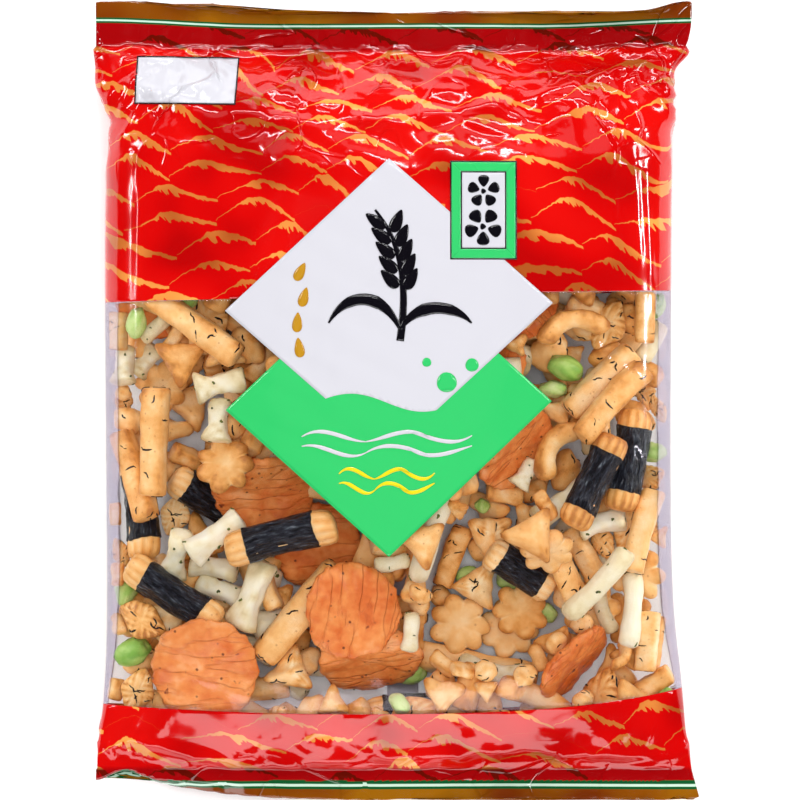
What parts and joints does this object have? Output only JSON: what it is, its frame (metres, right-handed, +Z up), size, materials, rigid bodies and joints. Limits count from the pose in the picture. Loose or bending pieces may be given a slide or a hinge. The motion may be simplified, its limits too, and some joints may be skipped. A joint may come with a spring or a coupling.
{
  "type": "sealed bag of rice crackers",
  "caption": "Sealed clear pillow bag filled with mixed rice crackers, printed red at head and foot, lying on its back.",
  "frame": {"origin": "middle of the bag's outline, on the surface it rests on", "axes": "+Z up out of the printed front, +Y towards the head seal, +X to the right as the front is read"},
  "size_m": [0.2309, 0.305, 0.0544],
  "materials": {
    "film": "glossy printed film, clear over the middle",
    "crackers": "baked, lightly glazed"
  },
  "bodies": {
    "root": {"bag": "film"}
  },
  "joints": []
}
